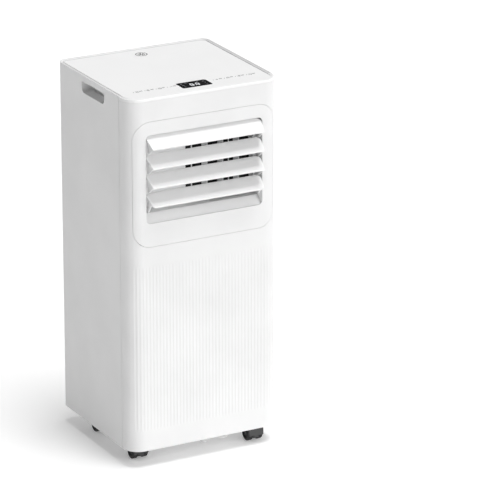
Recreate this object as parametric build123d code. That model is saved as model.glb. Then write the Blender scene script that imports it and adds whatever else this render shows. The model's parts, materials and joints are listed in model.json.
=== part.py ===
from build123d import *
import math
import os

# Portable air conditioner, in millimetres. The front faces -Y, +X is its right
# side seen from the front, and the floor is z = 0 under the middle of the unit.
# Every part is drawn with z = 0 at the cabinet's underside, and save() lifts
# it by FLOOR_GAP, so that the casters stand on the floor.

os.makedirs("parts", exist_ok=True)

# Cabinet
WIDTH = 292.0
DEPTH = 272.0
HEIGHT = 640.0
FLOOR_GAP = 31.0
FRONT_R = 28.0
REAR_R = 16.0
WALL = 2.5
SEAM = 0.3
FIT = 0.06
SIDE = WIDTH / 2
FRONT = -DEPTH / 2
REAR = DEPTH / 2
INNER_X = SIDE - WALL
INNER_Y = REAR - WALL

# Where the shells meet
SIDE_SEAM_Y = FRONT + 33.0
REAR_SEAM_X = 124.0
SIDE_SEAM = 0.8
RIM_WIDTH = 5.5
RIM_EDGE = 0.5
RIM_DROP = 1.6
RIM_FADE_Y = FRONT + 5.0
DECK_TOP = HEIGHT - RIM_DROP
DECK_LOW = HEIGHT - 6.0
DECK_GAP = 2.0
DECK_SEAM = 0.15
DECK_EDGE_R = 2.4

# Outlet panel on the front, and the louver opening in it
PANEL_HALF = 135.6
PANEL_LOW = 373.0
PANEL_HIGH = 597.5
PANEL_R = 32.0
PANEL_SEAM = 0.5
MOUTH_HALF = 112.0
MOUTH_LOW = 415.4
MOUTH_HIGH = 573.5
MOUTH_R = 8.0
SILL_Y = FRONT + 17.0
SILL_Z = 429.2

# Upright flutes on the lower front
FLUTE_PITCH = 6.36
FLUTE_WIDTH = 5.2
FLUTE_DEPTH = 0.5
FLUTE_LOW = 34.0
FLUTE_HIGH = 342.0
FLUTE_RUN_OUT_R = 140.0
FLUTE_RUN_OUT = 14.0
FLUTE_LIMIT_DEG = 38.0

# Grip recesses high on both sides
GRIP_FRONT = -48.0
GRIP_REAR = 38.0
GRIP_LOW = 609.0
GRIP_HIGH = 629.0
GRIP_DEEP = 22.0
GRIP_R = 8.0

# Louvers: four blades that close flush with the outlet panel
LOUVERS = 4
LOUVER_PITCH = 34.2
LOUVER_FACE = 31.6
LOUVER_SKIN = 2.4
LOUVER_TOP_GAP = 3.5
LOUVER_END_GAP = 0.8
LOUVER_TAPER = 4.0
LOUVER_CORNER_R = 8.0
LOUVER_OPEN_DEG = 54.0
CHEEK_THICK = 1.6
CHEEK_RISE = 0.8
CHEEK_TIP = (18.9, -16.9)
PIVOT_BEHIND = 5.0
PIVOT_BELOW_EDGE = 7.0
SPINE_R = 3.4
PIN_R = 1.8
CRANK = 13.0
CRANK_CLOSED_DEG = 32.0
LUG_R = 3.0
LUG_X = 98.0
LUG_THICK = 3.0
LINK_THICK = 3.0
LINK_PIN_R = 1.5
PIVOT_Y = FRONT + PIVOT_BEHIND
SWING_Y = -106.0

# Louver frame, vanes and the blower mouth behind them
FRAME_HALF = MOUTH_HALF + 0.2
FRAME_WALL = 3.4
FRAME_BACK = -88.0
BLOW_LEFT = -12.0
VANES = 3
VANE_LEFT = 17.5
VANE_PITCH = 30.6
VANE_Y = -102.0
VANE_CHORD = 20.0
VANE_THICK = 1.6
VANE_PIN_R = 1.5
VANE_CRANK = 6.5
VANE_LINK_Z = 504.0
GUARD_BARS = (0.0, 72.0)
GUARD_HALF = 0.7
DUCT_LOW = 436.3
DUCT_HIGH = MOUTH_HIGH - 1.8

# Blowers, coils and compressor
WHEEL_R = 60.0
SCROLL_R = 66.0
INLET_R = 48.0
SHAFT_R = 4.0
MOTOR_R = 34.0
UPPER_X = -48.0
UPPER_Z = 505.0
LOWER_X = 35.0
LOWER_Z = 150.0
SHELF_Z = 398.0
SHELF_THICK = 3.0
COIL_HALF = 108.0
COIL_DEPTH = 28.0
COMPRESSOR_X = -62.0
COMPRESSOR_Y = -40.0
COMPRESSOR_R = 50.0

# Rear: intake grilles, exhaust collar, cord gland and drain
GRILLE_HALF = 105.0
UPPER_GRILLE = (425.0, 610.0)
LOWER_GRILLE = (52.0, 230.0)
GRILLE_THICK = 3.0
SLOT_HIGH = 4.0
SLOT_PITCH = 8.0
COLLAR_Z = 315.0
COLLAR_BORE_R = 60.0
COLLAR_WALL = 3.0
GLAND_X = -85.0
GLAND_Z = 300.0
CORD_BORE_R = 3.6
DRAIN_X = -85.0
DRAIN_Z = 24.0
SPIGOT_R = 8.0
SCREW_X = 116.0
SCREW_HEIGHTS = (48.0, 245.0, 412.0, 622.0)

# Casters
CASTER_X = 108.0
CASTER_FRONT_Y = -96.0
CASTER_REAR_Y = 68.0
TRAIL = 11.0
WHEEL_RADIUS = 14.0
WHEEL_WIDE = 8.5
WHEEL_GAP = 0.4
CASTER_HALF = 13.8
WEB_HALF = 4.8
HOOD_SHOULDER = 12.0
STEM_R = 3.5
AXLE_R = 2.5


def save(node, shape):
    """Lifts a part to its height above the floor and writes it."""
    export_step(Pos(0, 0, FLOOR_GAP) * shape, f"parts/{node}.step")


def block(x, y, z):
    """A box between the two values of each pair."""
    centre = Pos((x[0] + x[1]) / 2, (y[0] + y[1]) / 2, (z[0] + z[1]) / 2)
    return centre * Box(x[1] - x[0], y[1] - y[0], z[1] - z[0])


def rod_z(radius, x, y, z):
    """An upright cylinder between two heights."""
    return Pos(x, y, (z[0] + z[1]) / 2) * Cylinder(radius, z[1] - z[0])


def rod_y(radius, x, z, y):
    """A cylinder along Y between two depths."""
    return Pos(x, (y[0] + y[1]) / 2, z) * Rot(90, 0, 0) * Cylinder(radius, y[1] - y[0])


def rod_x(radius, y, z, x):
    """A cylinder along X between two places."""
    return Pos((x[0] + x[1]) / 2, y, z) * Rot(0, 90, 0) * Cylinder(radius, x[1] - x[0])


def prism(points, x):
    """A profile of (y, z) points as a solid between two places along X."""
    face = Plane.YZ.offset(x[0]) * Polygon(*points, align=None)
    return extrude(face, amount=x[1] - x[0], dir=(1, 0, 0))


def outline(inset):
    """The cabinet's plan, inset all round, with its own front and rear corner radii."""
    face = Rectangle(WIDTH - 2 * inset, DEPTH - 2 * inset)
    face = fillet(face.vertices().group_by(Axis.Y)[0], FRONT_R - inset)
    return fillet(face.vertices().group_by(Axis.Y)[-1], max(REAR_R - inset, 1.0))


def body(inset, low, high):
    """The cabinet's plan as a solid between two heights."""
    return extrude(Pos(0, 0, low) * outline(inset), amount=high - low)


def window(x, z, radius, y):
    """A rounded rectangle seen from the front, as a solid between two depths."""
    shape = RectangleRounded(x[1] - x[0], z[1] - z[0], radius)
    face = Plane.XZ.offset(-y[1]) * Pos((x[0] + x[1]) / 2, (z[0] + z[1]) / 2) * shape
    return extrude(face, amount=y[1] - y[0])


def tube(points, radius, bend):
    """A round pipe along a route of straight runs and bends."""
    route = FilletPolyline(*points, radius=bend)
    start = Plane(origin=route @ 0, z_dir=route % 0)
    return sweep(start * Circle(radius), path=route)


def skin(low, high):
    """The cabinet's wall between two heights, all the way round."""
    return body(0, low, high) - body(WALL, low - 1, high + 1)


def bevel():
    """The cutter that slopes the top border inwards, down to the deck."""
    return loft([Pos(0, 0, DECK_TOP) * outline(RIM_WIDTH), Pos(0, 0, HEIGHT) * outline(RIM_EDGE)])


def rim():
    """The top border: a bevel that falls inwards, and a ledge for the deck."""
    border = body(0, DECK_LOW, HEIGHT) - body(RIM_WIDTH, DECK_LOW - 1, HEIGHT + 1)
    ledge = body(0, DECK_LOW - 2.5, DECK_LOW - SEAM)
    ledge -= body(RIM_WIDTH + 8, DECK_LOW - 3, DECK_LOW)
    return border - bevel() + ledge + skin(DECK_LOW - 1, DECK_LOW)


def flute():
    """One upright groove cutter at x = 0, which runs out softly at both ends."""
    radius = (FLUTE_WIDTH**2 / 4 + FLUTE_DEPTH**2) / (2 * FLUTE_DEPTH)
    y = FRONT - radius + FLUTE_DEPTH

    def lift(along):
        return FLUTE_RUN_OUT_R - math.sqrt(FLUTE_RUN_OUT_R**2 - along**2)

    half, full = FLUTE_RUN_OUT / 2, FLUTE_RUN_OUT
    low, high = FLUTE_LOW + full, FLUTE_HIGH - full
    foot = ThreePointArc((0, y - lift(full), low - full), (0, y - lift(half), low - half), (0, y, low))
    shank = Line((0, y, low), (0, y, high))
    head = ThreePointArc((0, y, high), (0, y - lift(half), high + half), (0, y - lift(full), high + full))
    route = Wire([foot, shank, head])
    return sweep(Plane(origin=route @ 0, z_dir=route % 0) * Circle(radius), path=route)


def flutes():
    """The grooves across the front and on to its round corners."""
    flat = SIDE - FRONT_R
    reach = flat + math.radians(FLUTE_LIMIT_DEG) * FRONT_R
    count = int(reach // FLUTE_PITCH)
    cutter = flute()
    cutters = []
    for index in range(-count, count + 1):
        along = index * FLUTE_PITCH
        past = abs(along) - flat
        if past <= 0:
            cutters.append(Pos(along, 0, 0) * cutter)
            continue
        side = math.copysign(1, along)
        turn = side * math.degrees(past / FRONT_R)
        corner = Pos(side * flat, FRONT + FRONT_R, 0)
        cutters.append(corner * Rot(0, 0, turn) * Pos(0, -FRONT - FRONT_R, 0) * cutter)
    return cutters


def front_shell():
    """The front with its round corners, open for the outlet panel."""
    shell = skin(0, DECK_LOW - DECK_SEAM)
    shell &= block((-SIDE, SIDE), (FRONT, SIDE_SEAM_Y - SIDE_SEAM / 2), (0, HEIGHT))
    opening = window((-PANEL_HALF, PANEL_HALF), (PANEL_LOW, PANEL_HIGH), PANEL_R, (FRONT - 5, -100))
    return shell - opening - flutes()


def outlet_panel():
    """The panel that wraps on to the front corners, with the louver opening."""
    half, low, high = PANEL_HALF - PANEL_SEAM, PANEL_LOW + PANEL_SEAM, PANEL_HIGH - PANEL_SEAM
    panel = skin(PANEL_LOW - 1, PANEL_HIGH + 1)
    panel &= window((-half, half), (low, high), PANEL_R - PANEL_SEAM, (FRONT - 5, -100))
    mouth = window((-MOUTH_HALF, MOUTH_HALF), (MOUTH_LOW, MOUTH_HIGH), MOUTH_R, (FRONT - 5, -100))
    return panel - mouth


def side_panel(side):
    """A side wall with its grip recess, rim and rear corner. side is -1 or 1."""
    reach = block((REAR_SEAM_X, SIDE), (REAR - 40, REAR), (0, HEIGHT))
    reach += block((SIDE - 30, SIDE), (SIDE_SEAM_Y + SIDE_SEAM / 2, REAR - 39), (0, HEIGHT))
    shell = (skin(0, HEIGHT) + rim()) & reach
    flange = block((109.0, REAR_SEAM_X + 8), (INNER_Y - 2.5, INNER_Y), (42, HEIGHT - 12))
    shell += flange
    grip_y, grip_z = (GRIP_FRONT, GRIP_REAR), (GRIP_LOW, GRIP_HIGH)
    cup = block(
        (SIDE - GRIP_DEEP - 2, SIDE - 1),
        (GRIP_FRONT - 2, GRIP_REAR + 2),
        (GRIP_LOW - 2, GRIP_HIGH + 2),
    )
    hollow = block((SIDE - GRIP_DEEP, SIDE + 1), grip_y, grip_z)
    lower = hollow.edges().filter_by(Axis.X).group_by(Axis.Z)[0]
    hollow = fillet(lower, GRIP_R)
    upper = hollow.edges().filter_by(Axis.X).group_by(Axis.Z)[-1]
    hollow = fillet(upper, 2.0)
    shell = shell + cup - hollow
    for z in SCREW_HEIGHTS:
        shell -= rod_y(1.6, SCREW_X, z, (INNER_Y - 3, REAR + 1))
    return shell if side > 0 else mirror(shell, Plane.YZ)


def rear_panel():
    """The flat rear wall with the openings for grilles, collar, gland and drain."""
    reach = block((-REAR_SEAM_X + SEAM, REAR_SEAM_X - SEAM), (REAR - 20, REAR), (0, HEIGHT))
    panel = (skin(0, HEIGHT) + rim()) & reach
    for low, high in (UPPER_GRILLE, LOWER_GRILLE):
        panel -= window((-GRILLE_HALF, GRILLE_HALF), (low, high), 6, (REAR - 5, REAR + 5))
    panel -= rod_y(COLLAR_BORE_R + COLLAR_WALL + SEAM, LOWER_X, COLLAR_Z, (REAR - 5, REAR + 5))
    panel -= rod_y(9.2, GLAND_X, GLAND_Z, (REAR - 5, REAR + 5))
    panel -= rod_y(10.3, DRAIN_X, DRAIN_Z, (REAR - 5, REAR + 5))
    for z in SCREW_HEIGHTS:
        for x in (-SCREW_X, SCREW_X):
            panel -= rod_y(1.6, x, z, (REAR - 5, REAR + 1))
    return panel


def control_deck():
    """The top plate: level inside the rim, and out to the cabinet's front edge."""
    sides = (-SIDE, SIDE)
    seam = SIDE_SEAM_Y - SIDE_SEAM / 2
    front = body(0, DECK_LOW, HEIGHT) & prism(
        [
            (FRONT, DECK_LOW),
            (FRONT, DECK_TOP),
            (RIM_FADE_Y, DECK_TOP),
            (seam, HEIGHT),
            (seam, DECK_LOW),
        ],
        sides,
    )
    front -= bevel()
    edge = block(sides, (FRONT, FRONT + DECK_EDGE_R), (DECK_TOP - DECK_EDGE_R, DECK_TOP + 1))
    edge -= rod_x(DECK_EDGE_R, FRONT + DECK_EDGE_R, DECK_TOP - DECK_EDGE_R, sides)
    groove = body(RIM_WIDTH, DECK_LOW, HEIGHT) - body(RIM_WIDTH + DECK_GAP, DECK_LOW, HEIGHT)
    groove &= prism([(RIM_FADE_Y, DECK_TOP), (seam, DECK_TOP - 2), (seam, HEIGHT)], sides)
    deck = body(RIM_WIDTH + DECK_GAP, DECK_LOW, DECK_TOP)
    deck += front - edge - groove
    return deck - display_block(0.15, 1.6, 1)


def display_block(grow, deep, proud):
    """The display's outline, as a block let into the deck."""
    face = Pos(1, -97) * RectangleRounded(57 + 2 * grow, 31 + 2 * grow, 4)
    low = DECK_TOP - deep
    return extrude(Pos(0, 0, low) * face, amount=deep + proud)


def display_board():
    """The touch and display board under the deck."""
    board = block((-125, 125), (-118, -78), (HEIGHT - 14, HEIGHT - 12.4))
    board += block((-28, 30), (-111, -83), (HEIGHT - 12.4, HEIGHT - 10))
    for x in (-106, -84, -63, -42, 47, 67, 89, 111):
        board += rod_z(4, x, -97, (HEIGHT - 12.4, HEIGHT - 8))
    return board


def pivot_z(index):
    """Height of a louver's pivot; index 0 is the top louver."""
    return MOUTH_HIGH - LOUVER_TOP_GAP - PIVOT_BELOW_EDGE - index * LOUVER_PITCH


def crank_offset(degrees):
    """From a pivot to its crank pin, as (y, z), when the crank is so many degrees up."""
    angle = math.radians(degrees)
    return CRANK * math.cos(angle), CRANK * math.sin(angle)


REST_CRANK = crank_offset(CRANK_CLOSED_DEG - LOUVER_OPEN_DEG)


def louver_face(low, high, last):
    """A closed blade's face, narrower at its low edge, with its corners and edges rounded."""
    top = MOUTH_HALF - LOUVER_END_GAP
    bottom = top - LOUVER_TAPER
    sheet = Polygon((-bottom, low), (bottom, low), (top, high), (-top, high), align=None)
    corners = sheet.vertices() if last else sheet.vertices().group_by(Axis.Y)[-1]
    sheet = fillet(corners, LOUVER_CORNER_R)
    face = extrude(Plane.XZ.offset(-FRONT - LOUVER_SKIN) * sheet, amount=LOUVER_SKIN, dir=(0, -1, 0))
    return fillet(face.edges().group_by(Axis.Y)[0], 0.9)


def louver(index):
    """A blade drawn closed, with spine, pins, end cheeks and crank lug, then turned open."""
    z = pivot_z(index)
    half = MOUTH_HALF - LOUVER_END_GAP - LOUVER_TAPER
    high = z + PIVOT_BELOW_EDGE
    low = high - LOUVER_FACE
    last = index == LOUVERS - 1
    blade = louver_face(low, high, last)
    blade += block((-half, half), (FRONT + 1, PIVOT_Y), (z - SPINE_R, z + SPINE_R))
    blade += rod_x(SPINE_R, PIVOT_Y, z, (-half, half))
    tip = (PIVOT_Y + CHEEK_TIP[0], z + CHEEK_TIP[1])
    cheek_low = low + (LOUVER_CORNER_R if last else CHEEK_RISE)
    cheek = prism([(FRONT + 1, z + 3), (FRONT + 1, cheek_low), tip], (half - CHEEK_THICK, half))
    pin = rod_x(PIN_R, PIVOT_Y, z, (half - 1, FRAME_HALF + 3.0))
    blade += cheek + mirror(cheek, Plane.YZ) + pin + mirror(pin, Plane.YZ)
    dy, dz = crank_offset(CRANK_CLOSED_DEG)
    middle = (LUG_X, PIVOT_Y + dy / 2, z + dz / 2)
    slot = Plane(origin=middle, x_dir=(0, dy, dz), z_dir=(1, 0, 0)) * SlotCenterToCenter(CRANK, 2 * LUG_R)
    blade += extrude(slot, amount=LUG_THICK)
    blade += rod_x(LINK_PIN_R, PIVOT_Y + dy, z + dz, (LUG_X, LUG_X + LUG_THICK + LINK_THICK + 0.5))
    hinge = Pos(0, PIVOT_Y, z)
    return hinge * Rot(-LOUVER_OPEN_DEG, 0, 0) * Pos(0, -PIVOT_Y, -z) * blade


def louver_link():
    """The bar that joins the four cranks, with an arm to the swing motor's crank."""
    y = PIVOT_Y + REST_CRANK[0]
    heights = [pivot_z(index) + REST_CRANK[1] for index in range(LOUVERS)]
    x = (LUG_X + LUG_THICK + 0.2, LUG_X + LUG_THICK + 0.2 + LINK_THICK)
    bar = block(x, (y - LUG_R, y + LUG_R), (heights[-1], heights[0]))
    motor_y, motor_z = SWING_Y + REST_CRANK[0], swing_z() + REST_CRANK[1]
    bar += block(x, (y, motor_y), (motor_z - LUG_R, motor_z + LUG_R))
    ends = [(y, height) for height in heights] + [(motor_y, motor_z)]
    for end in ends:
        bar += rod_x(LUG_R, end[0], end[1], x)
    for end in ends:
        bar -= rod_x(LINK_PIN_R + FIT, end[0], end[1], (x[0] - 1, x[1] + 1))
    return bar


def swing_z():
    """The swing motor sits level with the gap between louvers 2 and 3."""
    return pivot_z(1) - LOUVER_PITCH / 2


def swing_crank():
    """The motor's crank: a shaft through the frame, an arm and a pin in the link."""
    z = swing_z()
    dy, dz = REST_CRANK
    left = LUG_X + LUG_THICK + LINK_THICK + 1.0
    middle = (left, SWING_Y + dy / 2, z + dz / 2)
    slot = Plane(origin=middle, x_dir=(0, dy, dz), z_dir=(1, 0, 0)) * SlotCenterToCenter(CRANK, 2 * LUG_R)
    crank = extrude(slot, amount=2.6)
    crank += rod_x(LINK_PIN_R, SWING_Y + dy, z + dz, (LUG_X + LUG_THICK + 0.4, left + 1))
    return crank + rod_x(2.5, SWING_Y, z, (left, FRAME_HALF + FRAME_WALL + 6))


def swing_motor():
    """A small stepper motor on the outside of the louver frame."""
    z = swing_z()
    left = FRAME_HALF + FRAME_WALL
    motor = rod_x(14, SWING_Y, z, (left, left + 18))
    motor += block((left, left + 1.2), (SWING_Y - 4, SWING_Y + 4), (z - 21, z + 21))
    motor += block((left + 3, left + 16), (SWING_Y + 10, SWING_Y + 18), (z - 7, z + 7))
    return motor - rod_x(2.5 + FIT, SWING_Y, z, (left - 1, left + 7))


def vane_x(index):
    """Where each upright vane stands; index 0 is the left one."""
    return VANE_LEFT + index * VANE_PITCH


def louver_frame():
    """The box behind the outlet panel: a sloping sill, the blower's mouth and its guard bars."""
    wall = FRAME_WALL
    low, high = MOUTH_LOW - 0.2, MOUTH_HIGH + 0.2
    front, back = FRONT + WALL + 0.1, FRAME_BACK + 2
    outer = [
        (front, low - wall),
        (SILL_Y + 1, SILL_Z - wall),
        (back, SILL_Z - wall),
        (back, high + wall),
        (front, high + wall),
    ]
    inner = [
        (front - 1, low),
        (front, low),
        (SILL_Y, SILL_Z),
        (FRAME_BACK, SILL_Z),
        (FRAME_BACK, high),
        (front - 1, high),
    ]
    frame = prism(outer, (-FRAME_HALF - wall, FRAME_HALF + wall)) - prism(inner, (-FRAME_HALF, FRAME_HALF))
    frame -= block((BLOW_LEFT, FRAME_HALF), (FRAME_BACK - 1, FRAME_BACK + 3), (DUCT_LOW, DUCT_HIGH))
    for x in GUARD_BARS:
        frame += block((x - GUARD_HALF, x + GUARD_HALF), (FRAME_BACK, back), (DUCT_LOW - 1, DUCT_HIGH + 1))
    for index in range(LOUVERS):
        frame -= rod_x(PIN_R + FIT, PIVOT_Y, pivot_z(index), (-FRAME_HALF - wall - 1, FRAME_HALF + wall + 1))
    frame -= rod_x(2.5 + FIT, SWING_Y, swing_z(), (FRAME_HALF - 1, FRAME_HALF + wall + 1))
    for index in range(VANES):
        frame -= rod_z(VANE_PIN_R + FIT, vane_x(index), VANE_Y, (SILL_Z - wall - 1, high + wall + 1))
    return frame


def vane(index):
    """An upright vane on top and bottom pins, notched for its link."""
    x = vane_x(index)
    low, high = SILL_Z + 1.0, MOUTH_HIGH - 1.0
    half = VANE_CHORD / 2
    plate = block(
        (x - VANE_THICK / 2, x + VANE_THICK / 2), (VANE_Y - half, VANE_Y + half), (low, high)
    )
    ends = plate.edges().filter_by(Axis.Z)
    plate = fillet(ends, VANE_THICK / 2 - 0.05)
    pin_y = VANE_Y + VANE_CRANK
    notch = (VANE_LINK_Z - 3, VANE_LINK_Z + 3)
    plate -= block((x - 5, x + 5), (pin_y - 4.5, VANE_Y + half + 1), notch)
    plate += rod_z(1.2, x, pin_y, (VANE_LINK_Z - 4, VANE_LINK_Z + 4))
    return plate + rod_z(VANE_PIN_R, x, VANE_Y, (low - 4, high + 4))


def vane_link():
    """The bar across the rear edges of the vanes."""
    y = VANE_Y + VANE_CRANK
    z = (VANE_LINK_Z - 2, VANE_LINK_Z + 2)
    bar = block((vane_x(0) - 5, vane_x(VANES - 1) + 5), (y - 2.5, y + 2.5), z)
    for index in range(VANES):
        bar -= rod_z(1.2 + FIT, vane_x(index), y, (z[0] - 1, z[1] + 1))
    return bar


def blower_wheel(x, z, back, mouth):
    """A forward-curved blower wheel; back is its plate's depth, mouth its open end."""
    step = math.copysign(1, mouth - back)
    plate = sorted((back, back + 2 * step))
    lip = sorted((mouth, mouth - 3 * step))
    wide = sorted((back, mouth))
    wheel = rod_y(WHEEL_R, x, z, plate)
    ring = rod_y(WHEEL_R, x, z, lip) - rod_y(WHEEL_R - 9, x, z, (lip[0] - 1, lip[1] + 1))
    hub = rod_y(11, x, z, sorted((back, back + 22 * step)))
    shaft = rod_y(SHAFT_R, x, z, sorted((back - 30 * step, back + 24 * step)))
    blade = Pos(WHEEL_R - 5.2, 0, 0) * Rot(0, 0, 35) * Box(10, 1.3, wide[1] - wide[0] - 0.4)
    blades = [Rot(0, 0, angle * 12) * blade for angle in range(30)]
    place = Pos(x, (wide[0] + wide[1]) / 2, z) * Rot(90, 0, 0)
    return wheel + ring + hub + shaft + [place * each for each in blades]


def fan_motor(x, z, shaft_end, far_end):
    """A round fan motor; its shaft leaves at shaft_end."""
    step = math.copysign(1, far_end - shaft_end)
    case = rod_y(MOTOR_R, x, z, sorted((shaft_end, far_end)))
    case = fillet(case.edges().filter_by(GeomType.CIRCLE), 4)
    case -= rod_y(SHAFT_R + FIT, x, z, sorted((shaft_end - step, shaft_end + 32 * step)))
    for angle in (45, 135, 225, 315):
        dx, dz = 26 * math.cos(math.radians(angle)), 26 * math.sin(math.radians(angle))
        case += rod_y(3, x + dx, z + dz, sorted((far_end - step, far_end + 2 * step)))
    return case


def upper_volute():
    """The foam scroll of the cold blower, with its duct to the louver frame."""
    block_x = (-FRAME_HALF - 6, FRAME_HALF + FRAME_WALL)
    scroll = block(block_x, (FRAME_BACK + 2.3, 34), (DUCT_LOW - 5.4, DUCT_HIGH + 5.4))
    scroll -= rod_y(SCROLL_R, UPPER_X, UPPER_Z, (-40, 31))
    scroll -= block((BLOW_LEFT, FRAME_HALF), (FRAME_BACK, 31), (DUCT_LOW, DUCT_HIGH))
    scroll -= rod_y(INLET_R, UPPER_X, UPPER_Z, (30, 35))
    scroll -= rod_y(MOTOR_R + 1, UPPER_X, UPPER_Z, (FRAME_BACK, -43))
    return scroll - rod_y(SHAFT_R + 1, UPPER_X, UPPER_Z, (-44, -39))


def lower_volute():
    """The scroll of the hot blower, with its riser to the exhaust collar."""
    y = (12, 66)
    cavity = (14.5, 63.5)
    outer = rod_y(SCROLL_R + 3, LOWER_X, LOWER_Z, y)
    outer += block((LOWER_X - SCROLL_R - 3, LOWER_X + SCROLL_R + 3), y, (LOWER_Z, 385))
    inner = rod_y(SCROLL_R, LOWER_X, LOWER_Z, cavity)
    inner += block((LOWER_X - SCROLL_R, LOWER_X + SCROLL_R), cavity, (LOWER_Z + 30, 382))
    scroll = outer - inner
    scroll -= rod_y(INLET_R, LOWER_X, LOWER_Z, (60, 70))
    scroll -= rod_y(COLLAR_BORE_R, LOWER_X, COLLAR_Z, (60, 70))
    return scroll - rod_y(SHAFT_R + 1, LOWER_X, LOWER_Z, (10, 16))


def coil(y, z):
    """A finned coil: end plates, fins and hairpin tubes along X."""
    y_span = (y, y + COIL_DEPTH)
    parts = [block((side, side + 1.5), y_span, z) for side in (-COIL_HALF, COIL_HALF - 1.5)]
    fins = 24
    for index in range(1, fins):
        x = -COIL_HALF + index * 2 * COIL_HALF / fins
        parts.append(block((x - 0.4, x + 0.4), (y + 1, y + COIL_DEPTH - 1), (z[0] + 2, z[1] - 2)))
    rows = int((z[1] - z[0] - 20) // 24)
    for row in range(rows):
        low = z[0] + 14 + row * 24
        for height in (low, low + 12):
            parts.append(rod_x(4, y + COIL_DEPTH / 2, height, (-COIL_HALF - 2, COIL_HALF + 2)))
        bend = Pos(COIL_HALF + 2, y + COIL_DEPTH / 2, low + 6) * Rot(90, 0, 0) * Torus(6, 4)
        right = block((COIL_HALF + 1.9, COIL_HALF + 20), y_span, (low - 10, low + 22))
        parts.append(bend & right)
    whole = parts[0]
    for part in parts[1:]:
        whole += part
    return whole


def condensate_tray():
    """The tray that catches water under the cold coil."""
    tray = block((-114, 122), (60, 110), (SHELF_Z + SHELF_THICK, SHELF_Z + 22))
    return tray - block((-112, 120), (62, 108), (SHELF_Z + SHELF_THICK + 2, SHELF_Z + 30))


def divider_shelf():
    """The shelf between the cold and the hot halves, notched for the pipes."""
    shelf = body(WALL + SEAM, SHELF_Z, SHELF_Z + SHELF_THICK)
    shelf -= block((-150, -116), (70, 104), (SHELF_Z - 1, SHELF_Z + 5))
    shelf -= block((-150, 150), (INNER_Y - 3.0, REAR), (SHELF_Z - 1, SHELF_Z + 5))
    return shelf


def base_tray():
    """The floor pan, with caster sockets, two drains under the front and a raised rim."""
    inset = WALL + SEAM
    tray = body(inset, 0, 36) - body(inset + 2.5, 3, 37)
    for _, x, y, _ in caster_places():
        tray += rod_z(9, x, y, (0, 22))
        tray -= rod_z(STEM_R, x, y, (-1, 20))
    tray -= rod_y(5, DRAIN_X, DRAIN_Z, (INNER_Y - 6, REAR))
    for x, y, radius, bore, drop in ((1, -125, 6.5, 2.6, 6.5), (39, -117, 10, 6, 4)):
        tray += rod_z(radius, x, y, (-drop, 1))
        tray -= rod_z(bore, x, y, (-drop - 1, 4))
    return tray


def rear_drain_spigot():
    """The flanged spigot that carries the pan's drain out through the rear wall."""
    spigot = rod_y(10, DRAIN_X, DRAIN_Z, (INNER_Y - SEAM, REAR))
    spigot += rod_y(SPIGOT_R, DRAIN_X, DRAIN_Z, (REAR, REAR + 14))
    return spigot - rod_y(5, DRAIN_X, DRAIN_Z, (INNER_Y - 1, REAR + 15))


def bottom_drain_cap():
    """A round push-in cap in the larger drain under the front edge."""
    cap = rod_z(13, 39, -117, (-7, -4.2))
    cap = fillet(cap.edges().group_by(Axis.Z)[0], 1.0)
    return cap + rod_z(6 - FIT, 39, -117, (-5, 1.5))


def rear_drain_plug():
    """A bung in the rear drain spigot, slim enough for a hose to pass over it."""
    plug = rod_y(SPIGOT_R - 0.3, DRAIN_X, DRAIN_Z, (REAR + 14.2, REAR + 17))
    return plug + rod_y(5 - FIT, DRAIN_X, DRAIN_Z, (REAR + 3, REAR + 15))


def caster_places():
    """Name, swivel axis and the way each caster trails along Y."""
    return (
        ("front_left", -CASTER_X, CASTER_FRONT_Y, 1),
        ("front_right", CASTER_X, CASTER_FRONT_Y, -1),
        ("rear_left", -CASTER_X, CASTER_REAR_Y, -1),
        ("rear_right", CASTER_X, CASTER_REAR_Y, 1),
    )


def caster_stems():
    """The four steel stems, pressed into the floor pan."""
    return Compound([rod_z(STEM_R, x, y, (-13, 19.5)) for _, x, y, _ in caster_places()])


def caster_hood(x, y, way):
    """A flat-sided hood over twin wheels, with its stem boss, web and axle."""
    axle_y, axle_z = y + way * TRAIL, WHEEL_RADIUS - FLOOR_GAP
    span = (x - CASTER_HALF, x + CASTER_HALF)
    web_x = (x - WEB_HALF, x + WEB_HALF)
    outer, inner = WHEEL_RADIUS + 2.2, WHEEL_RADIUS + 0.6
    fender = rod_x(outer, axle_y, axle_z, span)
    fender += block(span, (axle_y - outer, axle_y + outer), (axle_z - 2, axle_z + HOOD_SHOULDER))
    fender -= rod_x(inner, axle_y, axle_z, (span[0] - 1, span[1] + 1))
    fender &= block(span, (axle_y - 30, axle_y + 30), (axle_z - 2, axle_z + 30))
    web = rod_x(outer - 0.5, axle_y, axle_z, web_x)
    web &= block(web_x, (axle_y - 30, axle_y + 30), (axle_z - 7, axle_z + 30))
    neck = block(web_x, sorted((y, axle_y)), (-14.5, -1.2))
    hood = fender + web + neck + rod_z(WEB_HALF, x, y, (-14.5, -0.8))
    hood -= rod_z(STEM_R + FIT, x, y, (-13.2, 1))
    return hood + rod_x(AXLE_R, axle_y, axle_z, (span[0] + 0.6, span[1] - 0.6))


def caster_wheel(x, y, way, side):
    """One of a caster's two wheels, dished on its outer face."""
    axle_y, axle_z = y + way * TRAIL, WHEEL_RADIUS - FLOOR_GAP
    inner = x + side * (WEB_HALF + WHEEL_GAP)
    outer = inner + side * WHEEL_WIDE
    wheel = rod_x(WHEEL_RADIUS, axle_y, axle_z, sorted((inner, outer)))
    wheel = fillet(wheel.edges().filter_by(GeomType.CIRCLE), 1.0)
    wheel -= rod_x(9.5, axle_y, axle_z, sorted((outer - side * 1.6, outer + side)))
    wheel += rod_x(4.4, axle_y, axle_z, sorted((outer - side * 2, outer - side * 0.4)))
    return wheel - rod_x(AXLE_R + FIT, axle_y, axle_z, sorted((inner - side, outer + side)))


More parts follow.
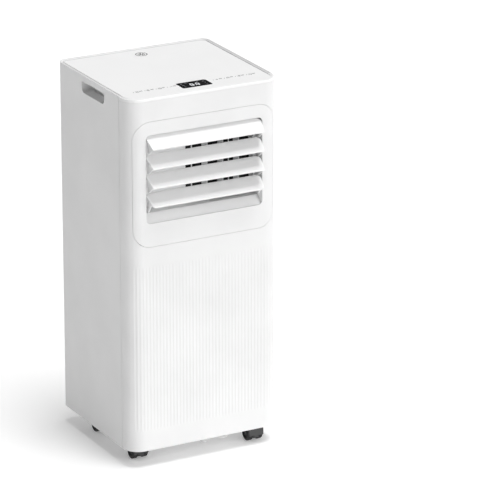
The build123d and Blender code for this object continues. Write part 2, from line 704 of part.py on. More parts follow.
def intake_grille(span):
    """A lift-out grille with rows of slots and a finger tab."""
    low, high = span[0] + SEAM, span[1] - SEAM
    half = GRILLE_HALF - SEAM
    plate = window((-half, half), (low, high), 6 - SEAM, (REAR - GRILLE_THICK, REAR))
    rows = int((high - low - 24) // SLOT_PITCH)
    start = (low + high) / 2 - (rows - 1) * SLOT_PITCH / 2
    columns = ((-96, -34), (-31, 31), (34, 96))
    slots = []
    for row in range(rows):
        z = start + row * SLOT_PITCH
        for column in columns:
            slots.append(
                window(column, (z - SLOT_HIGH / 2, z + SLOT_HIGH / 2), 1.9, (REAR - 5, REAR + 1))
            )
    plate -= slots
    tab = window((-14, 14), (high - 9.5, high - 2.5), 2, (REAR - 1, REAR + 1.6))
    return plate + tab


def air_filter(span):
    """A framed filter screen just inside the grille."""
    low, high = span[0] + 3, span[1] - 3
    half = GRILLE_HALF - 3
    y = (REAR - 8, REAR - 5)
    frame = block((-half, half), y, (low, high))
    bays = 3
    pitch = (2 * half - 6) / bays
    for index in range(bays):
        left = -half + 6 + index * pitch
        frame -= block((left, left + pitch - 6), (y[0] - 1, y[1] + 1), (low + 6, high - 6))
    screen = block((-half + 2, half - 2), (REAR - 6.9, REAR - 6.3), (low + 2, high - 2))
    return frame + screen


def exhaust_collar(end):
    """The round duct from the hot blower out through the rear wall."""
    tube_r = COLLAR_BORE_R + COLLAR_WALL
    collar = rod_y(tube_r, LOWER_X, COLLAR_Z, (66.2, end))
    collar += rod_y(tube_r + 8, LOWER_X, COLLAR_Z, (REAR, REAR + 3))
    return collar - rod_y(COLLAR_BORE_R, LOWER_X, COLLAR_Z, (60, end + 1))


def cord_gland():
    """The strain relief where the mains cord enters the rear wall."""
    gland = rod_y(9, GLAND_X, GLAND_Z, (REAR - 6, REAR))
    gland += rod_y(12, GLAND_X, GLAND_Z, (REAR, REAR + 2.5))
    gland += rod_y(6.5, GLAND_X, GLAND_Z, (REAR + 2.5, REAR + 14))
    return gland - rod_y(CORD_BORE_R, GLAND_X, GLAND_Z, (REAR - 7, REAR + 15))


def cabinet_screws():
    """Pan-head screws that hold the rear wall to the side walls."""
    screws = []
    for x in (-SCREW_X, SCREW_X):
        for z in SCREW_HEIGHTS:
            head = rod_y(3.6, x, z, (REAR, REAR + 2))
            head = fillet(head.edges().group_by(Axis.Y)[-1], 1.2)
            shank = rod_y(1.5, x, z, (INNER_Y - 6, REAR + 0.5))
            cross = block((x - 2.2, x + 2.2), (REAR + 1.2, REAR + 3), (z - 0.4, z + 0.4))
            cross += block((x - 0.4, x + 0.4), (REAR + 1.2, REAR + 3), (z - 2.2, z + 2.2))
            screws.append(head + shank - cross)
    return Compound([solid for screw in screws for solid in screw.solids()])


def compressor():
    """The sealed rotary compressor on its foot plate."""
    can = rod_z(COMPRESSOR_R, COMPRESSOR_X, COMPRESSOR_Y, (17, 212))
    can = fillet(can.edges().filter_by(GeomType.CIRCLE), 16)
    plate = rod_z(COMPRESSOR_R + 4, COMPRESSOR_X, COMPRESSOR_Y, (14, 18))
    can += plate & block((-112, -12), (-92, 10), (14, 18))
    can += rod_z(18, -2, -85, (60, 188)) + block((-30, -2), (-80, -68), (100, 112))
    return can + rod_z(9, COMPRESSOR_X, COMPRESSOR_Y, (211, 216))


def compressor_feet():
    """Three rubber feet between the compressor and the floor pan."""
    feet = []
    for angle in (90, 210, 330):
        x = COMPRESSOR_X + 38 * math.cos(math.radians(angle))
        y = COMPRESSOR_Y + 38 * math.sin(math.radians(angle))
        feet.append(rod_z(9, x, y, (3, 14)))
    return Compound(feet)


def refrigerant_pipes(upper_y, lower_y):
    """Discharge, suction and liquid lines between compressor and coils."""
    coil_end = -COIL_HALF - 2
    discharge = [
        (COMPRESSOR_X, COMPRESSOR_Y, 216),
        (COMPRESSOR_X, COMPRESSOR_Y, 262),
        (-125, COMPRESSOR_Y, 262),
        (-125, lower_y, 262),
        (-125, lower_y, 200),
        (coil_end - 0.5, lower_y, 200),
    ]
    suction = [
        (coil_end - 0.5, upper_y, 450),
        (-125, upper_y, 450),
        (-125, upper_y, 300),
        (-125, -85, 300),
        (-2, -85, 300),
        (-2, -85, 188),
    ]
    liquid = [
        (coil_end - 0.5, lower_y + 6, 70),
        (-136, lower_y + 6, 70),
        (-136, lower_y + 6, 520),
        (coil_end - 0.5, lower_y + 6, 520),
    ]
    pipes = [tube(discharge, 4, 9), tube(suction, 5, 9), tube(liquid, 2, 9)]
    return Compound([solid for pipe in pipes for solid in pipe.solids()])


def control_box():
    """The electrical box: power board cover with the run capacitor on its side."""
    box = block((30, 124), (-126, -52), (225, 365))
    box = fillet(box.edges().filter_by(Axis.Z), 4)
    box += rod_z(16, 52, -34.5, (240, 320)) + block((44, 60), (-54, -48), (250, 310))
    return box


UPPER_COIL_Y = 70.0
LOWER_COIL_Y = 76.0

nodes = {
    "front_shell": front_shell(),
    "outlet_panel": outlet_panel(),
    "left_side_panel": side_panel(-1),
    "right_side_panel": side_panel(1),
    "rear_panel": rear_panel(),
    "control_deck": control_deck(),
    "display_lens": display_block(0, 1.5, 0),
    "display_board": display_board(),
    "base_tray": base_tray(),
    "divider_shelf": divider_shelf(),
    "condensate_tray": condensate_tray(),
    "louver_frame": louver_frame(),
    "louver_link": louver_link(),
    "swing_crank": swing_crank(),
    "swing_motor": swing_motor(),
    "vane_link": vane_link(),
    "upper_volute": upper_volute(),
    "upper_blower_wheel": blower_wheel(UPPER_X, UPPER_Z, -36, 27),
    "upper_fan_motor": fan_motor(UPPER_X, UPPER_Z, -43.5, -83),
    "evaporator": coil(UPPER_COIL_Y, (426, 612)),
    "lower_volute": lower_volute(),
    "lower_blower_wheel": blower_wheel(LOWER_X, LOWER_Z, 19, 60),
    "lower_fan_motor": fan_motor(LOWER_X, LOWER_Z, 11.5, -28),
    "condenser": coil(LOWER_COIL_Y, (44, 242)),
    "compressor": compressor(),
    "compressor_feet": compressor_feet(),
    "refrigerant_pipes": refrigerant_pipes(UPPER_COIL_Y + 14, LOWER_COIL_Y + 14),
    "control_box": control_box(),
    "upper_intake_grille": intake_grille(UPPER_GRILLE),
    "upper_filter": air_filter(UPPER_GRILLE),
    "lower_intake_grille": intake_grille(LOWER_GRILLE),
    "lower_filter": air_filter(LOWER_GRILLE),
    "cord_gland": cord_gland(),
    "rear_drain_spigot": rear_drain_spigot(),
    "rear_drain_plug": rear_drain_plug(),
    "bottom_drain_cap": bottom_drain_cap(),
    "cabinet_screws": cabinet_screws(),
    "caster_stems": caster_stems(),
}
for index in range(LOUVERS):
    nodes[f"louver_{index + 1}"] = louver(index)
for index in range(VANES):
    nodes[f"vane_{index + 1}"] = vane(index)
for place, x, y, way in caster_places():
    nodes[f"caster_{place}"] = caster_hood(x, y, way)
    nodes[f"caster_{place}_wheel_left"] = caster_wheel(x, y, way, -1)
    nodes[f"caster_{place}_wheel_right"] = caster_wheel(x, y, way, 1)

# The collar stands as far behind the middle as the open louvers reach before it.
reach = -min(nodes[f"louver_{index + 1}"].bounding_box().min.Y for index in range(LOUVERS))
nodes["exhaust_collar"] = exhaust_collar(reach)

for node, shape in nodes.items():
    save(node, shape)
print(len(nodes), "nodes, collar end at", round(reach, 3))
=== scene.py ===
"""Looks of the portable air conditioner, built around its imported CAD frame. Units are metres."""

import json
import math

import bmesh
import bpy
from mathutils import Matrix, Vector


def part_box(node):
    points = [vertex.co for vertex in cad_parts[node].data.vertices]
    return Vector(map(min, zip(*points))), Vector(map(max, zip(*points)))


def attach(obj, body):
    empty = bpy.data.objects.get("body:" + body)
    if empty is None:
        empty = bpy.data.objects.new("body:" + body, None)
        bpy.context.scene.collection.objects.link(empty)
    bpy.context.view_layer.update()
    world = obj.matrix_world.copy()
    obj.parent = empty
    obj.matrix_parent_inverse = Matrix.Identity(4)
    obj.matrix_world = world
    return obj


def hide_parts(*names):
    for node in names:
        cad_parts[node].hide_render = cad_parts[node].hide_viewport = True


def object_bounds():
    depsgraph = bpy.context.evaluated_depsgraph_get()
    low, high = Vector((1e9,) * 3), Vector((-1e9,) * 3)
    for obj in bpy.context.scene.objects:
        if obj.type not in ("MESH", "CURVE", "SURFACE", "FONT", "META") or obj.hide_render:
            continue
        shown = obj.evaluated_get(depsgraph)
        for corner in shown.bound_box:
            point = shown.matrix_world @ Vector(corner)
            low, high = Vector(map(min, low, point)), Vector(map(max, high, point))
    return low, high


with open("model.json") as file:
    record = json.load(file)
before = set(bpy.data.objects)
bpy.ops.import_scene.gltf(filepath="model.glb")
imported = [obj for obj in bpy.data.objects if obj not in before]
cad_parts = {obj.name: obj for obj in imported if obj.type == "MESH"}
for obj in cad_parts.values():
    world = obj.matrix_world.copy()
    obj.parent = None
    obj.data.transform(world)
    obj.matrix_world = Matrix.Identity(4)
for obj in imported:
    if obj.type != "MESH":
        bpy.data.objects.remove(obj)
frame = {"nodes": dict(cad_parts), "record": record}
cad_low, cad_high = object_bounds()

MM = 0.001
ROOT = "cabinet"
RECORD = frame["record"]

# Where the deck, its display and its printed marks are
DECK_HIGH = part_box("control_deck")[1]
LENS_LOW, LENS_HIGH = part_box("display_lens")
DECK_TOP = LENS_HIGH.z
DISPLAY = (LENS_LOW + LENS_HIGH) / 2
PRINT_THICK = 0.05 * MM
KEY_PITCH = 21.5 * MM
KEY_ICON = 3.4 * MM
KEY_LINE = 0.95 * MM
KEYS_Y = DISPLAY.y + 4.5 * MM
KEYS_LEFT_X = DISPLAY.x - 42 * MM
KEYS_RIGHT_X = DISPLAY.x + 46 * MM
MARK_Y = DECK_HIGH.y - 27 * MM
MARK_R = 10.0 * MM
MARK_LINE = 1.5 * MM


# Shader building blocks


def new_material(name):
    """An empty node material with a Principled shader, and its node tree."""
    made = bpy.data.materials.new(name)
    made.use_nodes = True
    return made, made.node_tree, made.node_tree.nodes["Principled BSDF"]


def noise(tree, scale, detail=2.0, stretch=(1, 1, 1)):
    """A noise value in the object's own coordinates, scale in ripples per metre."""
    where = tree.nodes.new("ShaderNodeTexCoord")
    place = tree.nodes.new("ShaderNodeMapping")
    place.inputs["Scale"].default_value = stretch
    made = tree.nodes.new("ShaderNodeTexNoise")
    made.inputs["Scale"].default_value = scale
    made.inputs["Detail"].default_value = detail
    tree.links.new(where.outputs["Object"], place.inputs["Vector"])
    tree.links.new(place.outputs["Vector"], made.inputs["Vector"])
    return made.outputs["Fac"]


def spread(tree, value, low, high):
    """A noise value turned into a range of numbers."""
    made = tree.nodes.new("ShaderNodeMapRange")
    made.inputs["From Min"].default_value = 0.3
    made.inputs["From Max"].default_value = 0.7
    made.inputs["To Min"].default_value = low
    made.inputs["To Max"].default_value = high
    tree.links.new(value, made.inputs["Value"])
    return made.outputs["Result"]


def two_tone(tree, value, first, second):
    """A colour that drifts between two with a noise value."""
    made = tree.nodes.new("ShaderNodeValToRGB")
    made.color_ramp.elements[0].position = 0.35
    made.color_ramp.elements[1].position = 0.65
    made.color_ramp.elements[0].color = (*first, 1)
    made.color_ramp.elements[1].color = (*second, 1)
    tree.links.new(value, made.inputs["Fac"])
    return made.outputs["Color"]


def bump(tree, shader, value, strength, depth):
    """Adds surface relief, depth in metres."""
    made = tree.nodes.new("ShaderNodeBump")
    made.inputs["Strength"].default_value = strength
    made.inputs["Distance"].default_value = depth
    tree.links.new(value, made.inputs["Height"])
    tree.links.new(made.outputs["Normal"], shader.inputs["Normal"])


def shade(colour, factor):
    """A colour made lighter or darker."""
    return tuple(min(1.0, part * factor) for part in colour)


def plastic(name, colour, rough=0.42, grain=900, relief=0.25, drift=0.03, coat=0.0, level=0.5):
    """Moulded plastic: fine grain, faint colour drift and uneven gloss."""
    made, tree, shader = new_material(name)
    cloud = noise(tree, 9.0, 3.0)
    tone = two_tone(tree, cloud, shade(colour, 1 - drift), shade(colour, 1 + drift / 2))
    tree.links.new(tone, shader.inputs["Base Color"])
    gloss = spread(tree, noise(tree, 40.0, 3.0), rough - 0.05, rough + 0.06)
    tree.links.new(gloss, shader.inputs["Roughness"])
    bump(tree, shader, noise(tree, grain, 2.0), relief, 0.04 * MM)
    shader.inputs["Specular IOR Level"].default_value = level
    shader.inputs["Coat Weight"].default_value = coat
    shader.inputs["Coat Roughness"].default_value = 0.15
    return made


def metal(name, colour, rough=0.32, stretch=(1, 1, 30), relief=0.2, grain=120):
    """Bare metal with drawn or brushed lines."""
    made, tree, shader = new_material(name)
    lines = noise(tree, grain, 3.0, stretch)
    tone = two_tone(tree, lines, shade(colour, 0.86), shade(colour, 1.06))
    tree.links.new(tone, shader.inputs["Base Color"])
    gloss = spread(tree, lines, rough - 0.08, rough + 0.1)
    tree.links.new(gloss, shader.inputs["Roughness"])
    shader.inputs["Metallic"].default_value = 1.0
    bump(tree, shader, lines, relief, 0.03 * MM)
    return made


def beaded_foam(name, colour):
    """Expanded foam, with its closed beads showing."""
    made, tree, shader = new_material(name)
    where = tree.nodes.new("ShaderNodeTexCoord")
    beads = tree.nodes.new("ShaderNodeTexVoronoi")
    beads.inputs["Scale"].default_value = 330
    tree.links.new(where.outputs["Object"], beads.inputs["Vector"])
    tone = two_tone(tree, beads.outputs["Distance"], shade(colour, 1.5), shade(colour, 0.7))
    tree.links.new(tone, shader.inputs["Base Color"])
    shader.inputs["Roughness"].default_value = 0.8
    bump(tree, shader, beads.outputs["Distance"], 0.5, 0.4 * MM)
    return made


def circuit_board(name, colour):
    """Solder mask with darker and lighter traces."""
    made, tree, shader = new_material(name)
    where = tree.nodes.new("ShaderNodeTexCoord")
    cells = tree.nodes.new("ShaderNodeTexVoronoi")
    cells.distance = "MANHATTAN"
    cells.inputs["Scale"].default_value = 160
    tree.links.new(where.outputs["Object"], cells.inputs["Vector"])
    tone = two_tone(tree, cells.outputs["Distance"], shade(colour, 0.7), shade(colour, 1.6))
    tree.links.new(tone, shader.inputs["Base Color"])
    shader.inputs["Roughness"].default_value = 0.3
    return made


def display_glass(name, colour):
    """A polished black window with faint wipe marks."""
    made, tree, shader = new_material(name)
    wipes = noise(tree, 60.0, 4.0, (1, 3, 1))
    tone = two_tone(tree, wipes, colour, shade(colour, 1.4))
    tree.links.new(tone, shader.inputs["Base Color"])
    tree.links.new(spread(tree, wipes, 0.10, 0.18), shader.inputs["Roughness"])
    shader.inputs["Specular IOR Level"].default_value = 0.008
    return made


def ink(name, colour, glow=0.0):
    """Printed ink, or a lit display segment where glow is above 0."""
    made, tree, shader = new_material(name)
    tone = two_tone(tree, noise(tree, 700.0, 2.0), shade(colour, 0.9), colour)
    tree.links.new(tone, shader.inputs["Base Color"])
    shader.inputs["Roughness"].default_value = 0.5
    if glow:
        shader.inputs["Emission Color"].default_value = (*colour, 1)
        shader.inputs["Emission Strength"].default_value = glow
    return made


WHITE = (0.83, 0.83, 0.83)
SLOT_MATERIALS = {
    "white_shell": plastic("white_shell", WHITE, rough=0.44, grain=1400, relief=0.18),
    # louver_white is the shell white made lighter: painted light for the louver faces shaded by the blade
    # above each
    "louver_white": plastic("louver_white", shade(WHITE, 1.06), rough=0.36, grain=1400, relief=0.1),
    "vane_white": plastic("vane_white", (0.72, 0.73, 0.73), rough=0.4),
    "display_black": display_glass("display_black", (0.006, 0.006, 0.007)),
    "circuit_board": circuit_board("circuit_board", (0.02, 0.14, 0.05)),
    "pan_grey": plastic("pan_grey", (0.55, 0.55, 0.55), rough=0.5, relief=0.3),
    "motor_steel": metal("motor_steel", (0.55, 0.56, 0.57), stretch=(1, 20, 1)),
    "foam_dark": beaded_foam("foam_dark", (0.035, 0.035, 0.038)),
    # duct_grey is near black: painted shade, standing in for the dark of the duct interior in shadow
    # behind the vanes
    "duct_grey": plastic("duct_grey", (0.05, 0.05, 0.052), rough=0.5),
    "wheel_black": plastic("wheel_black", (0.02, 0.02, 0.021), rough=0.4),
    "coil_aluminium": metal("coil_aluminium", (0.72, 0.73, 0.74), rough=0.4, stretch=(6, 1, 1)),
    "compressor_black": plastic("compressor_black", (0.02, 0.02, 0.02), rough=0.3, coat=0.4),
    "rubber_black": plastic("rubber_black", (0.015, 0.015, 0.015), rough=0.75, relief=0.4),
    "copper": metal("copper", (0.72, 0.36, 0.22), rough=0.28, stretch=(1, 1, 4)),
    "filter_grey": plastic("filter_grey", (0.10, 0.105, 0.11), rough=0.6, relief=0.3),
    "gland_grey": plastic("gland_grey", (0.08, 0.08, 0.082), rough=0.65, relief=0.3),
    "rubber_grey": plastic("rubber_grey", (0.30, 0.30, 0.30), rough=0.7, relief=0.3),
    "cap_white": plastic("cap_white", (0.70, 0.70, 0.69), rough=0.5, relief=0.3),
    "screw_steel": metal("screw_steel", (0.62, 0.63, 0.64), rough=0.3, stretch=(1, 4, 1)),
    "caster_black": plastic("caster_black", (0.06, 0.06, 0.061), rough=0.38, relief=0.3, level=0.4),
    "caster_wheel": plastic(
        "caster_wheel", (0.014, 0.014, 0.015), rough=0.5, relief=0.5, drift=0.2, level=0.35
    ),
}
# The deck and the outlet's inner frame are whiter than the shells: painted light, a lighter copy of the
# shell white that stands in for the brighter light on the deck and on the frame's shaded sill
PAINTED_LIGHT_WHITE = plastic("painted_light_white", shade(WHITE, 1.12), rough=0.5, grain=1400, relief=0.1, drift=0.01)
NODE_MATERIALS = {"control_deck": PAINTED_LIGHT_WHITE, "louver_frame": PAINTED_LIGHT_WHITE}


def dress_cad_nodes():
    """Gives every CAD node its own material, or else that of its slot in the record."""
    for part in RECORD["subparts"]:
        node = frame["nodes"][part["node"]]
        finish = NODE_MATERIALS.get(part["node"], SLOT_MATERIALS[part["material_slot"]])
        if not node.material_slots:
            node.data.materials.append(finish)
        for place in node.material_slots:
            place.material = finish


# Flat printed and lit marks, as thin closed solids

DOT_SIDES = 14


def prism(mesh, outline, low, high):
    """A closed prism over a convex outline that runs anticlockwise."""
    floor = [mesh.verts.new((x, y, low)) for x, y in outline]
    roof = [mesh.verts.new((x, y, high)) for x, y in outline]
    mesh.faces.new(list(reversed(floor)))
    mesh.faces.new(roof)
    count = len(outline)
    for index in range(count):
        after = (index + 1) % count
        mesh.faces.new((floor[index], floor[after], roof[after], roof[index]))


def arc_band(mesh, centre, radius, width, start, end, low, high, steps=28):
    """A closed band along an arc, angles in degrees."""
    full = abs(end - start) >= 360
    count = steps if full else steps + 1
    rows = []
    for index in range(count):
        angle = math.radians(start + (end - start) * index / steps)
        ring = []
        for reach in (radius - width / 2, radius + width / 2):
            x, y = centre[0] + reach * math.cos(angle), centre[1] + reach * math.sin(angle)
            ring += [mesh.verts.new((x, y, low)), mesh.verts.new((x, y, high))]
        rows.append(ring)
    pairs = list(zip(rows, rows[1:] + rows[:1] if full else rows[1:]))
    for here, there in pairs:
        mesh.faces.new((here[1], here[3], there[3], there[1]))
        mesh.faces.new((here[0], there[0], there[2], here[2]))
        mesh.faces.new((here[0], here[1], there[1], there[0]))
        mesh.faces.new((here[2], there[2], there[3], here[3]))
    if not full:
        for ring, flip in ((rows[0], False), (rows[-1], True)):
            face = (ring[0], ring[2], ring[3], ring[1])
            mesh.faces.new(tuple(reversed(face)) if flip else face)


def stroke(mesh, start, end, width, low, high):
    """A straight printed line with square ends."""
    first, last = Vector(start), Vector(end)
    along = (last - first).normalized()
    side = Vector((-along.y, along.x)) * width / 2
    corners = (first - side, last - side, last + side, first + side)
    prism(mesh, [tuple(corner) for corner in corners], low, high)


def dot(mesh, centre, radius, low, high):
    """A small printed disc."""
    angles = [math.tau * index / DOT_SIDES for index in range(DOT_SIDES)]
    outline = [(centre[0] + radius * math.cos(a), centre[1] + radius * math.sin(a)) for a in angles]
    prism(mesh, outline, low, high)


def finish_mesh(mesh, name, finish, body=ROOT):
    """Turns a bmesh into a named piece that rides on a body."""
    bmesh.ops.recalc_face_normals(mesh, faces=mesh.faces)
    data = bpy.data.meshes.new(name)
    mesh.to_mesh(data)
    mesh.free()
    piece = bpy.data.objects.new(name, data)
    bpy.context.scene.collection.objects.link(piece)
    data.materials.append(finish)
    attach(piece, body)
    return piece


class Pictogram:
    """Draws small generic signs around a centre, in units of the sign's half size."""

    def __init__(self, centre, size, width, low):
        self.mesh = bmesh.new()
        self.centre, self.size, self.width = centre, size, width
        self.low, self.high = low, low + PRINT_THICK

    def at(self, x, y):
        return (self.centre[0] + x * self.size, self.centre[1] + y * self.size)

    def line(self, first, last):
        stroke(self.mesh, self.at(*first), self.at(*last), self.width, self.low, self.high)

    def ring(self, x, y, radius, start=0, end=360):
        centre = self.at(x, y)
        arc_band(self.mesh, centre, radius * self.size, self.width, start, end, self.low, self.high)

    def spot(self, x, y, radius):
        dot(self.mesh, self.at(x, y), radius * self.size, self.low, self.high)


def power_sign(sign):
    sign.ring(0, 0, 0.8, 125, 415)
    sign.line((0, 0.1), (0, 1.0))


def flake_sign(sign):
    for turn in range(3):
        angle = math.radians(60 * turn + 30)
        x, y = math.cos(angle), math.sin(angle)
        sign.line((-x, -y), (x, y))


def fan_sign(sign):
    sign.spot(0, 0, 0.22)
    for turn in range(3):
        angle = math.radians(120 * turn + 90)
        x, y = 0.55 * math.cos(angle), 0.55 * math.sin(angle)
        sign.ring(x, y, 0.42, 120 * turn - 60, 120 * turn + 150)


def clock_sign(sign):
    sign.ring(0, 0, 0.85)
    sign.line((0, 0), (0, 0.55))
    sign.line((0, 0), (0.42, -0.2))


def swing_sign(sign):
    for step in (-0.6, 0.0, 0.6):
        sign.line((-0.8, step + 0.2), (0.8, step - 0.2))


def moon_sign(sign):
    sign.ring(0, 0, 0.8, 60, 300)
    sign.ring(0.45, 0, 0.69, 115, 245)


def plus_sign(sign):
    sign.line((-0.7, 0), (0.7, 0))
    sign.line((0, -0.7), (0, 0.7))


def minus_sign(sign):
    sign.line((-0.7, 0), (0.7, 0))


def drop_sign(sign):
    sign.ring(0, -0.3, 0.5, 150, 390)
    sign.line((-0.45, -0.05), (0, 0.9))
    sign.line((0.45, -0.05), (0, 0.9))


def key_mark(name, centre, draw, finish):
    """A touch key's print: a dot, its sign and four small arcs beside it."""
    sign = Pictogram(centre, KEY_ICON, KEY_LINE, DECK_TOP)
    draw(sign)
    sign.spot(-2.0, 0, 0.28)
    for x in (1.75, 2.55):
        for y in (-0.15, 0.35):
            sign.ring(x, y, 0.36, 20, 160)
    finish_mesh(sign.mesh, name, finish)


def key_marks():
    """The eight touch keys, four on each side of the display."""
    grey = ink("key_print", (0.06, 0.06, 0.062))
    left = (swing_sign, moon_sign, clock_sign, minus_sign)
    right = (plus_sign, fan_sign, flake_sign, power_sign)
    for index, draw in enumerate(left):
        x = KEYS_LEFT_X - (3 - index) * KEY_PITCH
        key_mark(f"key_mark_{index + 1}", (x, KEYS_Y), draw, grey)
    for index, draw in enumerate(right):
        x = KEYS_RIGHT_X + index * KEY_PITCH
        key_mark(f"key_mark_{index + 5}", (x, KEYS_Y), draw, grey)


def deck_mark():
    """A plain snow star in a ring, printed at the back of the deck."""
    grey = ink("deck_print", (0.035, 0.035, 0.037))
    sign = Pictogram((DISPLAY.x, MARK_Y), MARK_R, MARK_LINE, DECK_TOP)
    sign.ring(0, 0, 1.0)
    for turn in range(6):
        angle = math.radians(60 * turn + 30)
        x, y = math.cos(angle), math.sin(angle)
        sign.line((0.12 * x, 0.12 * y), (0.72 * x, 0.72 * y))
        for side in (-1, 1):
            tip = angle + side * math.radians(38)
            sign.line(
                (0.42 * x, 0.42 * y),
                (0.42 * x + 0.24 * math.cos(tip), 0.42 * y + 0.24 * math.sin(tip)),
            )
    finish_mesh(sign.mesh, "deck_mark", grey)


SEGMENT_LONG = 5.4 * MM
SEGMENT_WIDE = 0.8 * MM
SEGMENT_GAP = 0.5 * MM
DIGIT_STEP = 10.5 * MM
DIGIT_DROP = 2.0 * MM
DIGIT_SLANT = 0.12
SIGN_HALF = 1.9 * MM
SIGN_LINE = 0.45 * MM


def figure_eight(mesh, centre, low):
    """A seven-segment digit with all its segments lit; each is a bar with pointed ends."""
    long = SEGMENT_LONG
    half = (SEGMENT_LONG - SEGMENT_GAP) / 2
    thin = SEGMENT_WIDE / 2
    shoulder = half - thin
    segment = (
        (-half, 0), (-shoulder, -thin), (shoulder, -thin), (half, 0), (shoulder, thin), (-shoulder, thin),
    )
    level = [(0, row * long, 0) for row in (-1, 0, 1)]
    upright = [(x * long / 2, y * long / 2, 90) for x in (-1, 1) for y in (-1, 1)]
    for x, y, turn in level + upright:
        c, s = math.cos(math.radians(turn)), math.sin(math.radians(turn))
        outline = []
        for along, across in segment:
            right, up = x + along * c - across * s, y + along * s + across * c
            outline.append((centre[0] + right + DIGIT_SLANT * up, centre[1] + up))
        prism(mesh, outline, low, low + PRINT_THICK)


def display_face():
    """The lit digits and the dim signs around them."""
    lit = ink("display_lit", (0.95, 0.97, 1.0), glow=0.9)
    dim = ink("display_dim", (0.35, 0.36, 0.38), glow=0.12)
    mesh = bmesh.new()
    for side in (-1, 1):
        figure_eight(mesh, (DISPLAY.x + side * DIGIT_STEP / 2, DISPLAY.y - DIGIT_DROP), DECK_TOP)
    finish_mesh(mesh, "display_digits", lit)
    signs = (
        (-21, 8, flake_sign), (-21, 0, fan_sign), (-21, -8, drop_sign), (-11.5, 11, clock_sign),
        (11, 11, moon_sign), (21, 8, swing_sign), (21, 0, plus_sign), (21, -8, minus_sign),
    )
    for index, (x, y, draw) in enumerate(signs):
        sign = Pictogram((DISPLAY.x + x * MM, DISPLAY.y + y * MM), SIGN_HALF, SIGN_LINE, DECK_TOP)
        draw(sign)
        finish_mesh(sign.mesh, f"display_sign_{index + 1}", dim)


# Air filters: a moulded frame with a woven screen

FILTER_EDGE = 6 * MM
FILTER_RIB = 3 * MM
FILTER_BAYS = 3
THREAD = 0.45 * MM
THREAD_PITCH = 2.6 * MM


def bar(mesh, low, high):
    """A closed box between two corners."""
    outline = ((low[0], low[1]), (high[0], low[1]), (high[0], high[1]), (low[0], high[1]))
    prism(mesh, outline, low[2], high[2])


def air_filter(name, node, body):
    """Replaces a plain filter with its frame and threads that can be seen through."""
    low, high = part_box(node)
    inner_low, inner_high = low.z + FILTER_EDGE, high.z - FILTER_EDGE
    mesh = bmesh.new()
    bar(mesh, low, (high.x, high.y, inner_low))
    bar(mesh, (low.x, low.y, inner_high), high)
    for left in (low.x, high.x - FILTER_EDGE):
        bar(mesh, (left, low.y, inner_low), (left + FILTER_EDGE, high.y, inner_high))
    for index in range(1, FILTER_BAYS):
        middle = low.x + (high.x - low.x) * index / FILTER_BAYS
        bar(mesh, (middle - FILTER_RIB, low.y, inner_low), (middle + FILTER_RIB, high.y, inner_high))
    middle_z = (low.z + high.z) / 2
    bar(
        mesh,
        (low.x + FILTER_EDGE, low.y, middle_z - FILTER_RIB / 2),
        (high.x - FILTER_EDGE, high.y - FILTER_RIB / 2, middle_z + FILTER_RIB / 2),
    )
    frame_piece = finish_mesh(mesh, name, SLOT_MATERIALS["filter_grey"], body)
    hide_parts(node)

    # The screen's threads run from the middle of one edge to the middle of the other
    screen = bmesh.new()
    y = (low.y + high.y) / 2
    left, right = low.x + FILTER_EDGE / 2, high.x - FILTER_EDGE / 2
    bottom, top = low.z + FILTER_EDGE / 2, high.z - FILTER_EDGE / 2
    for index in range(1, int((right - left) / THREAD_PITCH)):
        x = left + index * THREAD_PITCH
        bar(screen, (x, y, bottom), (x + THREAD, y + THREAD, top))
    for index in range(1, int((top - bottom) / THREAD_PITCH)):
        z = bottom + index * THREAD_PITCH
        bar(screen, (left, y + THREAD * 0.6, z), (right, y + THREAD * 1.6, z + THREAD))
    finish_mesh(screen, f"{name}_screen", SLOT_MATERIALS["filter_grey"], body)


# Stage: camera, floor and light


def direction(azimuth, elevation):
    """A direction from the unit, with the azimuth from the front towards the right, in degrees."""
    a, e = math.radians(azimuth), math.radians(elevation)
    return Vector((math.sin(a) * math.cos(e), -math.cos(a) * math.cos(e), math.sin(e)))


# The camera's place round the unit in degrees, and its other measures in metres; the lens is in mm
CAMERA_AZIMUTH = -28.4249
CAMERA_ELEVATION = 19.6091
CAMERA_DISTANCE = 6.84666
CAMERA_RIGHT = 0.141998
CAMERA_UP = -0.011163
CAMERA_LENS = 281.858
CAMERA_SENSOR = 36.0
CAMERA_CLIP_END = 60.0


def make_camera():
    """A long lens well back from the unit, as the unit is seen in the catalogue view."""
    back = direction(CAMERA_AZIMUTH, CAMERA_ELEVATION)
    right = direction(CAMERA_AZIMUTH + 90, 0)
    up = back.cross(right)
    shell_low, shell_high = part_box("left_side_panel")
    middle = Vector((0, 0, (shell_low.z + shell_high.z) / 2))
    lens = bpy.data.cameras.new("camera")
    lens.sensor_width = CAMERA_SENSOR
    lens.lens = CAMERA_LENS
    lens.clip_end = CAMERA_CLIP_END
    camera = bpy.data.objects.new("camera", lens)
    bpy.context.scene.collection.objects.link(camera)
    camera.location = middle + back * CAMERA_DISTANCE + right * CAMERA_RIGHT + up * CAMERA_UP
    camera.rotation_mode = "QUATERNION"
    camera.rotation_quaternion = (-back).to_track_quat("-Z", "Y")
    bpy.context.scene.camera = camera


FLOOR_HALF = 9.0
FLOOR_THICK = 0.02
FLOOR_GLOW = 0.23


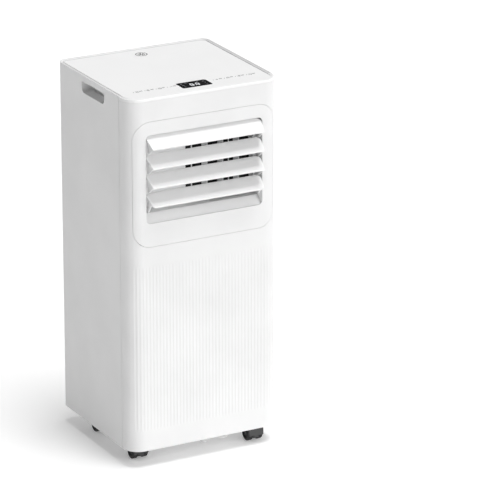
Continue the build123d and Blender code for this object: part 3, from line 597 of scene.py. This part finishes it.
def make_floor():
    """A plain pale floor that glows a little, like a light table."""
    mesh = bmesh.new()
    low_z = cad_low.z - FLOOR_THICK
    bar(mesh, (-FLOOR_HALF, -FLOOR_HALF, low_z), (FLOOR_HALF, FLOOR_HALF, cad_low.z))
    data = bpy.data.meshes.new("floor")
    mesh.to_mesh(data)
    mesh.free()
    floor = bpy.data.objects.new("floor", data)
    bpy.context.scene.collection.objects.link(floor)
    paper = plastic("floor_paper", (0.92, 0.92, 0.92), rough=0.9, relief=0.0, drift=0.0, level=0.1)
    shader = paper.node_tree.nodes["Principled BSDF"]
    shader.inputs["Emission Color"].default_value = (1, 1, 1, 1)
    shader.inputs["Emission Strength"].default_value = FLOOR_GLOW
    data.materials.append(paper)


# The surround brightens evenly from the left towards the right
SURROUND_LEVEL = 0.3
SURROUND_RIGHT = 0.24
# Each lamp: azimuth from the front, elevation, apparent width (all degrees) and strength
LAMPS = {"front_light": (20, 26, 40, 1.08), "top_light": (40, 80, 30, 1.78)}


def make_surround():
    """The studio's surround, with its brightness worked out from the direction."""
    world = bpy.data.worlds.new("studio")
    bpy.context.scene.world = world
    world.use_nodes = True
    tree = world.node_tree
    where = tree.nodes.new("ShaderNodeTexCoord")
    rightwards = tree.nodes.new("ShaderNodeVectorMath")
    rightwards.operation = "DOT_PRODUCT"
    rightwards.inputs[1].default_value = (SURROUND_RIGHT, 0, 0)
    level = tree.nodes.new("ShaderNodeMath")
    level.operation = "ADD"
    level.inputs[1].default_value = SURROUND_LEVEL
    surround = tree.nodes["Background"]
    surround.inputs["Color"].default_value = (1, 1, 1, 1)
    tree.links.new(where.outputs["Generated"], rightwards.inputs[0])
    tree.links.new(rightwards.outputs["Value"], level.inputs[0])
    tree.links.new(level.outputs["Value"], surround.inputs["Strength"])


def make_lamps():
    """Broad distant lamps: one in front and one overhead."""
    for name, (azimuth, elevation, width, strength) in LAMPS.items():
        light = bpy.data.lights.new(name, "SUN")
        light.energy = strength
        light.angle = math.radians(width)
        lamp = bpy.data.objects.new(name, light)
        bpy.context.scene.collection.objects.link(lamp)
        lamp.rotation_mode = "QUATERNION"
        lamp.rotation_quaternion = direction(azimuth, elevation).to_track_quat("Z", "Y")


bpy.context.scene.view_settings.view_transform = "Standard"
make_camera()
make_floor()
make_surround()
make_lamps()
dress_cad_nodes()
key_marks()
deck_mark()
display_face()
air_filter("upper_filter_frame", "upper_filter", "upper_intake")
air_filter("lower_filter_frame", "lower_filter", "lower_intake")
